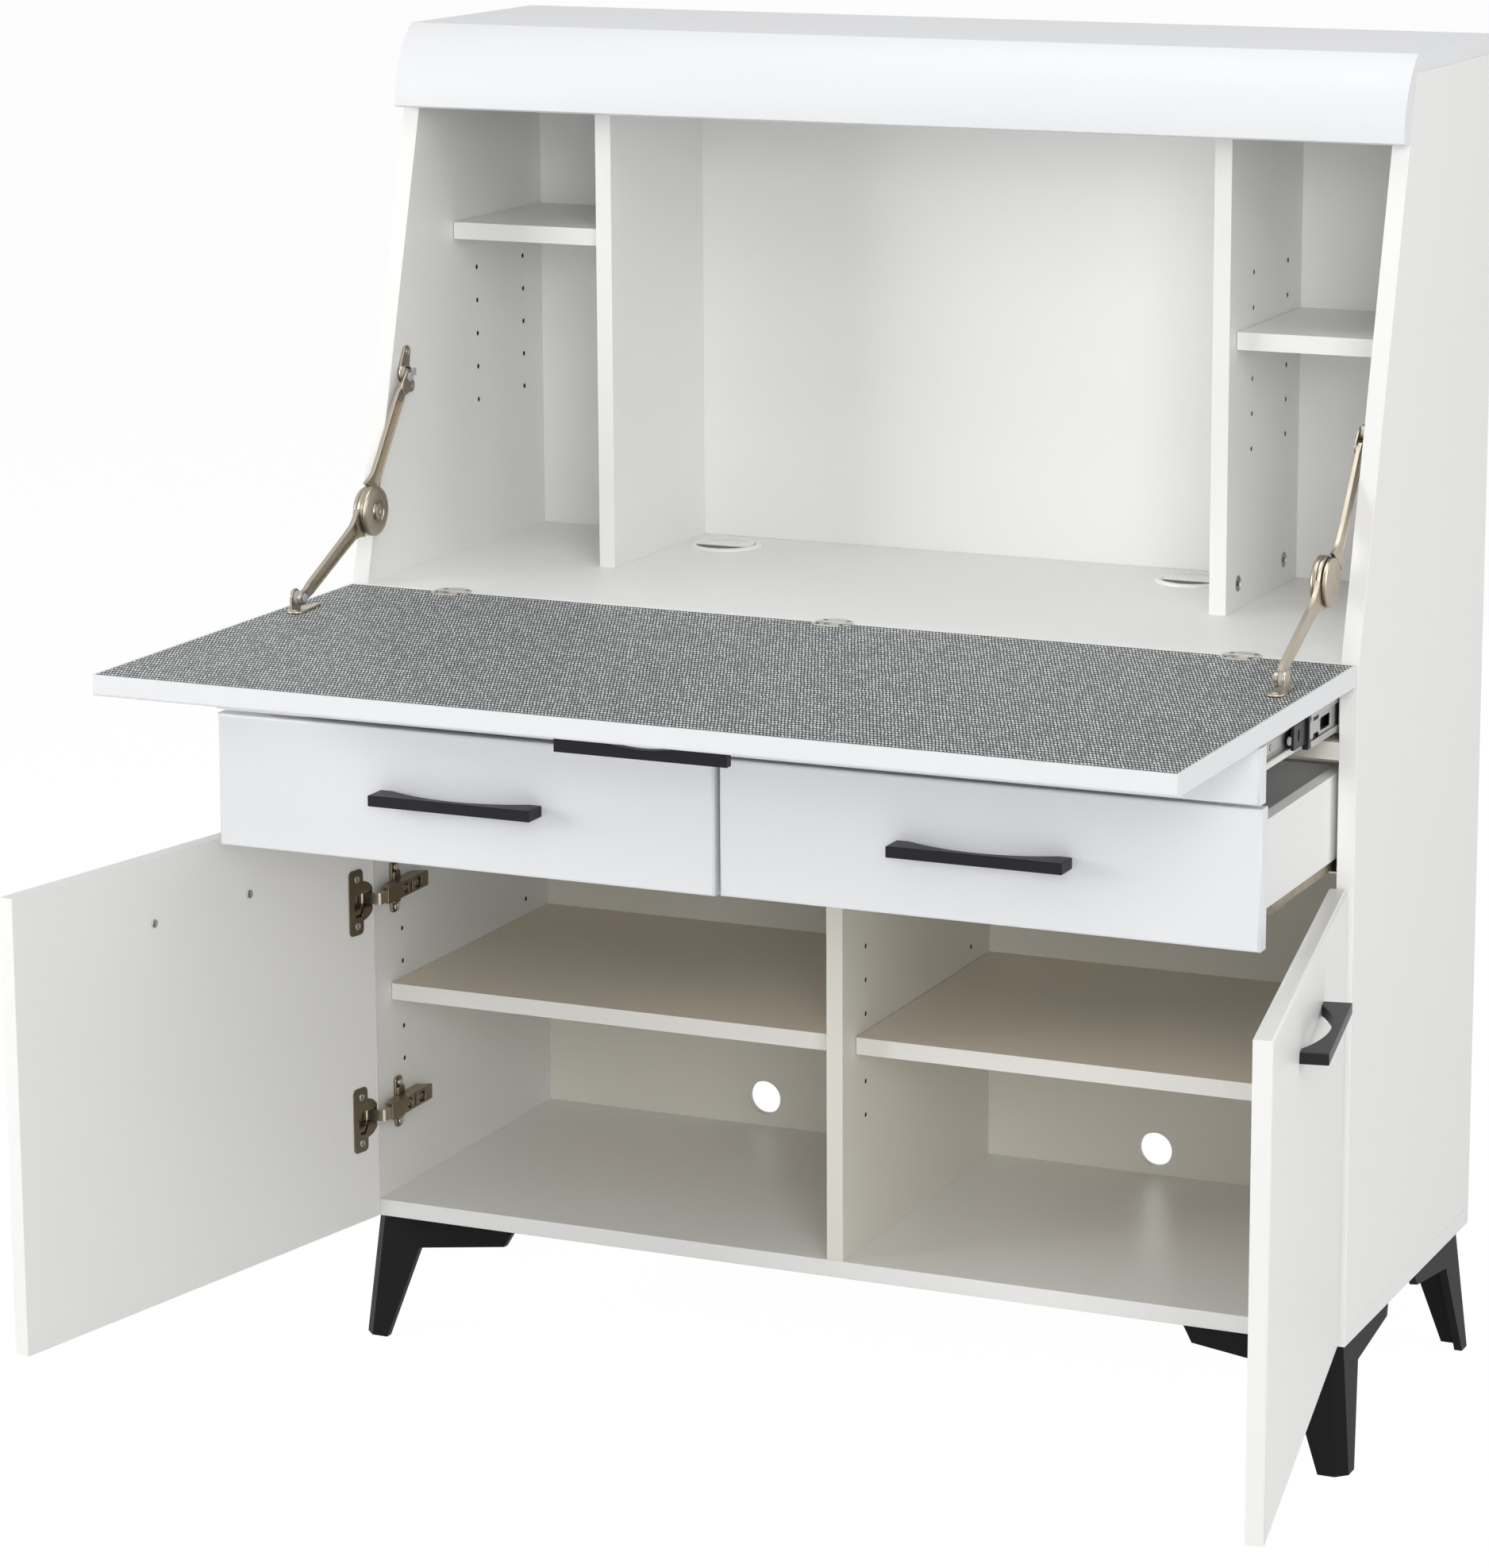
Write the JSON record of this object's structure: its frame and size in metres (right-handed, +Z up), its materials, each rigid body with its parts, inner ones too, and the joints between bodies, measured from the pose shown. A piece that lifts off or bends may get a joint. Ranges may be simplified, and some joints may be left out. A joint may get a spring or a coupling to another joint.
{
  "type": "secretary desk",
  "caption": "Tall secretary desk with a slanted front, drop flap on folding stays, pull-out tray, drawers, cup-hinged doors, adjustable shelves and splayed legs.",
  "frame": {"origin": "on the floor, under the middle of the desk as it stands open", "axes": "+Z up, -Y towards the user, +X to the user's right"},
  "size_m": [1.1456, 0.8682, 1.239],
  "materials": {
    "white_board": "melamine faced board, cool white satin",
    "inner_board": "melamine faced board, off-white matt",
    "grey_laminate": "fine woven grey laminate, matt",
    "handle_black": "satin near-black",
    "leg_black": "satin near-black",
    "hinge_bronze": "dark nickel plated",
    "stay_nickel": "warm nickel plated",
    "zinc_steel": "zinc plated",
    "grommet_plastic": "glossy white"
  },
  "bodies": {
    "cabinet": {"side_panel_left": "white_board", "side_panel_right": "white_board", "top_board": "white_board", "fascia": "white_board", "bottom_board": "white_board", "worktop": "inner_board", "front_rail": "inner_board", "lower_divider": "inner_board", "upper_divider_left": "inner_board", "upper_divider_right": "inner_board", "upper_shelf_left": "inner_board", "upper_shelf_right": "inner_board", "lower_shelf_left": "inner_board", "lower_shelf_right": "inner_board", "back_panel_upper": "inner_board", "back_panel_lower": "inner_board", "shelf_pins": "zinc_steel", "cam_fittings": "zinc_steel", "cable_grommets": "grommet_plastic", "leg_front_left": "leg_black", "leg_front_right": "leg_black", "leg_back_left": "leg_black", "leg_back_right": "leg_black", "door_hinge_arms": "hinge_bronze", "door_hinge_plates": "hinge_bronze", "flap_hinge_fixed": "stay_nickel", "stay_brackets": "stay_nickel", "tray_rails_fixed": "zinc_steel", "drawer_runners": "zinc_steel"},
    "flap": {"flap_board": "white_board", "flap_laminate": "grey_laminate", "flap_handle": "handle_black", "flap_hinge_cups": "stay_nickel", "stay_feet": "stay_nickel"},
    "stay_lower_left": {"stay_lower_left": "stay_nickel"},
    "stay_lower_right": {"stay_lower_right": "stay_nickel"},
    "stay_upper_left": {"stay_upper_left": "stay_nickel"},
    "stay_upper_right": {"stay_upper_right": "stay_nickel"},
    "tray": {"tray_front": "white_board", "tray_box": "inner_board", "tray_bottom": "inner_board", "tray_rails_inner": "zinc_steel"},
    "tray_slides": {"tray_rails_middle": "zinc_steel"},
    "drawer_left": {"drawer_front_left": "white_board", "drawer_box_left": "inner_board", "drawer_bottom_left": "inner_board", "drawer_handle_left": "handle_black", "drawer_rails_left": "zinc_steel"},
    "drawer_right": {"drawer_front_right": "white_board", "drawer_box_right": "inner_board", "drawer_bottom_right": "inner_board", "drawer_handle_right": "handle_black", "drawer_rails_right": "zinc_steel"},
    "door_left": {"door_panel_left": "white_board", "door_handle_left": "handle_black", "door_cups_left": "hinge_bronze"},
    "door_right": {"door_panel_right": "white_board", "door_handle_right": "handle_black", "door_cups_right": "hinge_bronze"}
  },
  "joints": [
    {"name": "flap_hinge", "type": "hinge", "parent": "cabinet", "child": "flap", "pos_m": [0, 0.03933, 0.7246], "axis": [-1, 0, 0], "range_deg": [0, 105.16]},
    {"name": "stay_foot_left", "type": "hinge", "parent": "flap", "child": "stay_lower_left", "pos_m": [-0.461, -0.09287, 0.7435], "axis": [-1, 0, 0], "range_deg": [-80, 5]},
    {"name": "stay_knuckle_left", "type": "hinge", "parent": "stay_lower_left", "child": "stay_upper_left", "pos_m": [-0.458, 0.03553, 0.8026], "axis": [-1, 0, 0], "range_deg": [-125, 5]},
    {"name": "stay_foot_right", "type": "hinge", "parent": "flap", "child": "stay_lower_right", "pos_m": [0.461, -0.09287, 0.7435], "axis": [-1, 0, 0], "range_deg": [-80, 5]},
    {"name": "stay_knuckle_right", "type": "hinge", "parent": "stay_lower_right", "child": "stay_upper_right", "pos_m": [0.458, 0.03553, 0.8026], "axis": [-1, 0, 0], "range_deg": [-125, 5]},
    {"name": "tray_slide", "type": "slide", "parent": "cabinet", "child": "tray", "axis": [0, 1, 0], "range_m": [0, 0.238]},
    {"name": "tray_middle_slide", "type": "slide", "parent": "cabinet", "child": "tray_slides", "axis": [0, 1, 0], "range_m": [0, 0.119]},
    {"name": "drawer_slide_left", "type": "slide", "parent": "cabinet", "child": "drawer_left", "axis": [0, 1, 0], "range_m": [0, 0.236]},
    {"name": "drawer_slide_right", "type": "slide", "parent": "cabinet", "child": "drawer_right", "axis": [0, 1, 0], "range_m": [0, 0.232]},
    {"name": "door_hinge_left", "type": "hinge", "parent": "cabinet", "child": "door_left", "pos_m": [-0.4778, 0.03553, 0.329], "axis": [0, 0, 1], "range_deg": [0, 100.8]},
    {"name": "door_hinge_right", "type": "hinge", "parent": "cabinet", "child": "door_right", "pos_m": [0.4778, 0.03553, 0.329], "axis": [0, 0, -1], "range_deg": [0, 100.8]}
  ],
  "couplings": [
    {"joint": "stay_foot_left", "follows": "flap_hinge", "ratio": -0.71943},
    {"joint": "stay_knuckle_left", "follows": "flap_hinge", "ratio": -1.1462},
    {"joint": "stay_foot_right", "follows": "flap_hinge", "ratio": -0.71943},
    {"joint": "stay_knuckle_right", "follows": "flap_hinge", "ratio": -1.1462},
    {"joint": "tray_middle_slide", "follows": "tray_slide", "ratio": 0.5}
  ]
}
